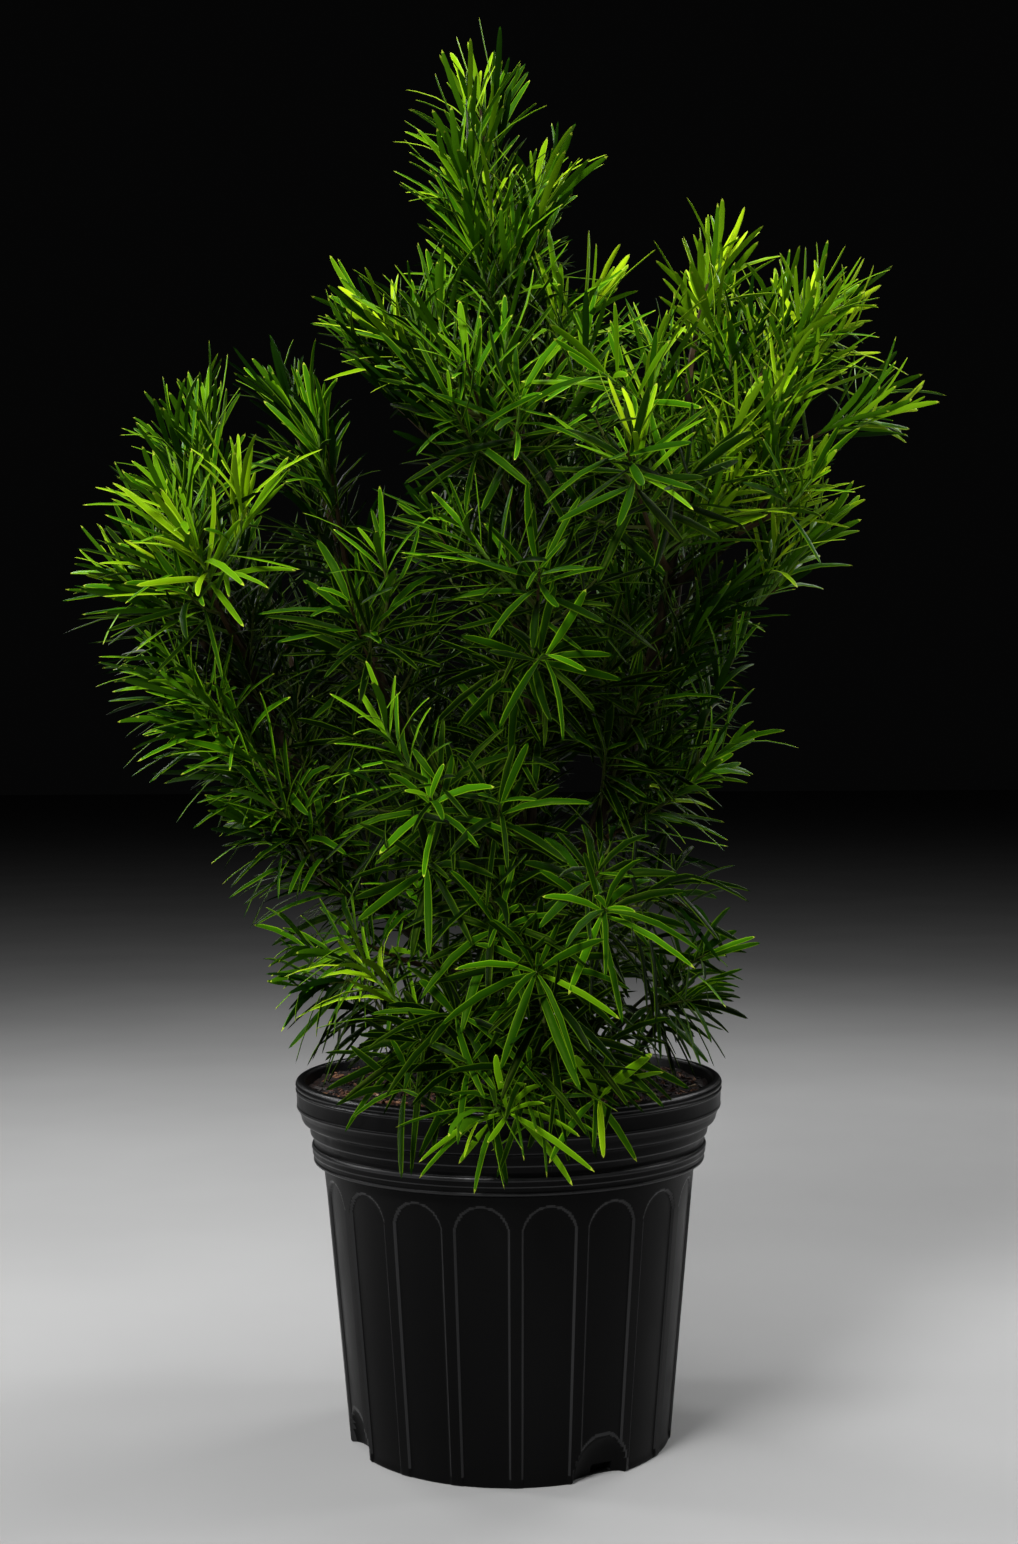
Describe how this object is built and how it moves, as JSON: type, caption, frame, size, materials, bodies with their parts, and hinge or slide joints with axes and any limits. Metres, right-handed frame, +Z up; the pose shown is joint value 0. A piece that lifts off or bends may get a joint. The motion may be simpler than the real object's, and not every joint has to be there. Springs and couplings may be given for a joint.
{
  "type": "potted podocarpus",
  "caption": "Upright podocarpus shrub with long narrow evergreen leaves on a leaning trunk and spreading boughs, growing in a round ribbed plastic nursery pot filled with soil.",
  "frame": {"origin": "centre of the pot's flat underside", "axes": "+Z up along the pot's axis and the plant's height, -Y towards the side shown in the picture, +X to the right in that view"},
  "size_m": [0.6039, 0.4305, 0.9294],
  "materials": {
    "pot": "satin",
    "soil": "matte",
    "bark": "matte",
    "leaves": "satin"
  },
  "bodies": {
    "root": {"pot": "pot", "soil": "soil", "trunk": "bark", "bough_left": "bark", "bough_right": "bark", "bough_left_inner": "bark", "bough_front": "bark", "bough_rear": "bark", "bough_left_outer": "bark", "bough_left_rear": "bark", "bough_right_outer": "bark", "bough_right_high": "bark", "bough_right_rear": "bark", "foliage_crown_top": "leaves", "foliage_crown_left": "leaves", "foliage_crown_right": "leaves", "foliage_crown_rear": "leaves", "foliage_upper_left": "leaves", "foliage_upper_left_low": "leaves", "foliage_upper_front": "leaves", "foliage_small_spire": "leaves", "foliage_upper_rear_left": "leaves", "foliage_upper_rear_right": "leaves", "foliage_right_spire": "leaves", "foliage_right_high": "leaves", "foliage_right_high_rear": "leaves", "foliage_far_right": "leaves", "foliage_right_mid": "leaves", "foliage_right_low": "leaves", "foliage_right_lower": "leaves", "foliage_star": "leaves", "foliage_right_rear": "leaves", "foliage_right_rear_low": "leaves", "foliage_left_top": "leaves", "foliage_left_spire": "leaves", "foliage_left_small": "leaves", "foliage_left_face": "leaves", "foliage_far_left": "leaves", "foliage_left_mid": "leaves", "foliage_left_lower": "leaves", "foliage_left_under": "leaves", "foliage_left_rear": "leaves", "foliage_left_rear_low": "leaves", "foliage_centre_left": "leaves", "foliage_centre_high": "leaves", "foliage_centre_mid": "leaves", "foliage_centre_low": "leaves", "foliage_front_low": "leaves", "foliage_front_foot": "leaves", "foliage_front_left_foot": "leaves", "foliage_left_foot": "leaves", "foliage_left_skirt": "leaves", "foliage_right_foot": "leaves", "foliage_right_skirt": "leaves", "foliage_rear_high": "leaves", "foliage_rear_mid": "leaves", "foliage_rear_low": "leaves", "foliage_rear_right_low": "leaves", "foliage_inner_left": "leaves"}
  },
  "joints": []
}
